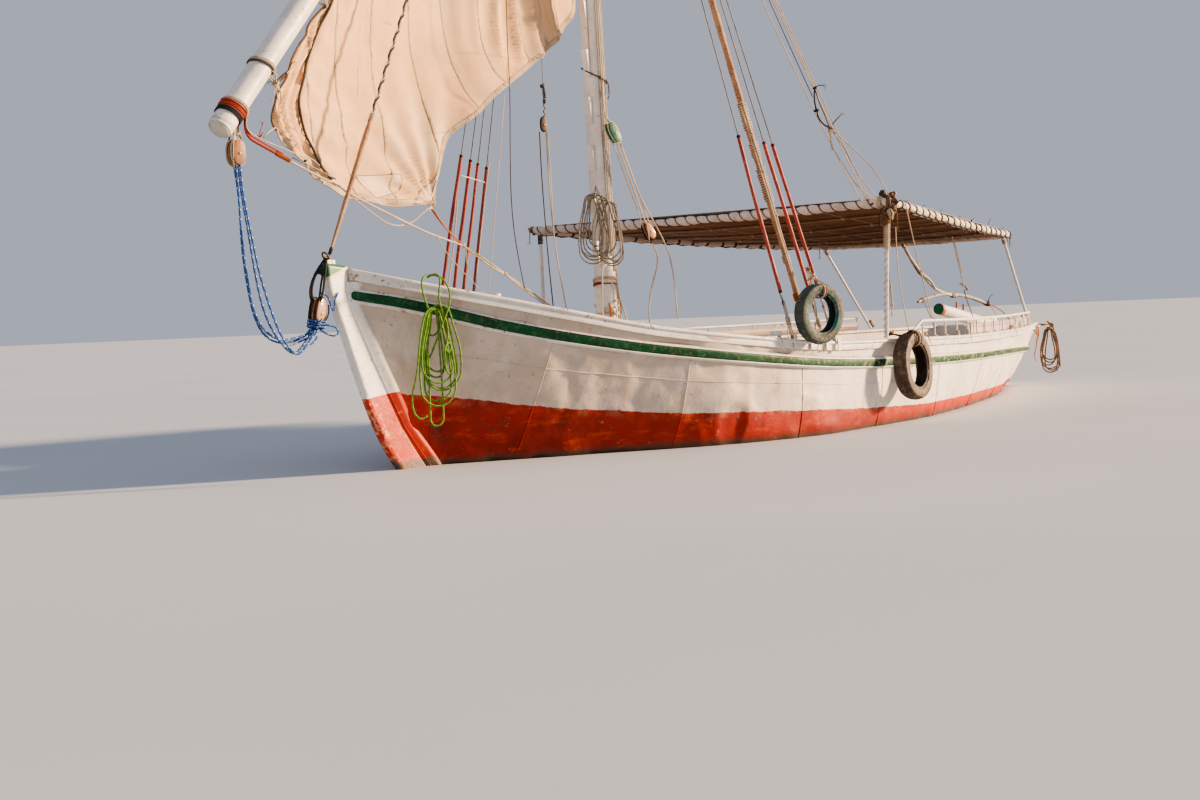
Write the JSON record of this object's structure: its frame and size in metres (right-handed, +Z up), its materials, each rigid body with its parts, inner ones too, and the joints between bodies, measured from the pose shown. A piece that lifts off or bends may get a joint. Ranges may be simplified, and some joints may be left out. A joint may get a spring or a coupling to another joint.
{
  "type": "river felucca, steel hull, lateen rigged",
  "caption": "Open river sailing boat with one lateen sail on a long yard, reed awning over bench seats, stern rails, tyre fenders and a rudder with a long tiller.",
  "frame": {"origin": "on the centreline amidships at the level of the water the boat floats in", "axes": "+X towards the bow, +Y to port, +Z up"},
  "size_m": [15.0323, 4.5768, 14.6818],
  "materials": {
    "hull_paint": "white topsides over red bottom paint, dented and scuffed",
    "stem_paint": "white with a red foot and a green head",
    "green_paint": "gloss, worn",
    "deck_paint": "satin, worn",
    "rudder_paint": "white over red",
    "white_metal": "gloss, chipped",
    "spar_paint": "white paint over timber",
    "timber": "worn boards",
    "block_wood": "varnished and painted blocks",
    "tiller_paint": "orange-red and green paint",
    "galvanised": "dull, rust at the edges",
    "hose_red": "faded hose",
    "rope_cream": "laid rope",
    "rope_green": "laid synthetic rope",
    "rope_blue": "laid synthetic rope",
    "canvas": "cotton sailcloth",
    "reed_mat": "woven reed on slats",
    "cushion_cloth": "woven cotton cover",
    "tyre_rubber": "worn",
    "pole_paint": "weathered grey"
  },
  "bodies": {
    "hull": {"hull_shell": "hull_paint", "keel": "hull_paint", "gunwale_rail": "hull_paint", "stem_bar": "stem_paint", "rub_strake": "green_paint", "foredeck": "deck_paint", "aft_deck": "deck_paint", "bulkheads": "deck_paint", "mast_collar": "deck_paint", "stern_rail_port": "white_metal", "stern_rail_starboard": "white_metal", "stern_balusters": "white_metal", "awning_frame": "white_metal", "awning_posts": "white_metal", "rail_chock": "white_metal", "bow_bitts": "white_metal", "masthead_band": "white_metal", "mast": "spar_paint", "mast_steps": "spar_paint", "bench_port": "timber", "bench_starboard": "timber", "cockpit_floor": "timber", "halyard_blocks": "block_wood", "stem_block": "block_wood", "forestay": "galvanised", "port_shrouds": "galvanised", "starboard_shrouds": "galvanised", "stem_shackle": "galvanised", "port_chainplates": "galvanised", "starboard_chainplates": "galvanised", "rudder_gudgeons": "galvanised", "forestay_sleeve": "hose_red", "port_shroud_sleeves": "hose_red", "starboard_shroud_sleeves": "hose_red", "port_lanyards": "rope_cream", "starboard_lanyards": "rope_cream", "mast_rope_hank": "rope_cream", "stern_rope_hank": "rope_cream", "green_rope_hank": "rope_green", "awning_mat": "reed_mat", "cushions_port": "cushion_cloth", "cushions_starboard": "cushion_cloth", "tyre_fender_fore": "tyre_rubber", "tyre_fender_aft": "tyre_rubber", "boat_pole": "pole_paint"},
    "rudder": {"rudder_blade": "rudder_paint", "rudder_cheeks": "rudder_paint", "rudder_pintles": "galvanised", "tiller": "tiller_paint", "tiller_pegs": "tiller_paint"},
    "yard": {"yard": "spar_paint", "sail": "canvas", "sail_furled": "canvas", "heel_block": "block_wood", "heel_tackle_ropes": "rope_blue"}
  },
  "joints": [
    {"name": "rudder_turn", "type": "hinge", "parent": "hull", "child": "rudder", "pos_m": [-6.2032, 0, 0], "axis": [-0.2607, 0, 0.9654], "range_deg": [-35, 35]},
    {"name": "yard_swing", "type": "hinge", "parent": "hull", "child": "yard", "pos_m": [3.2904, 0, 7.6], "axis": [0.029, 0, 0.9996], "range_deg": [-25, 0]}
  ]
}
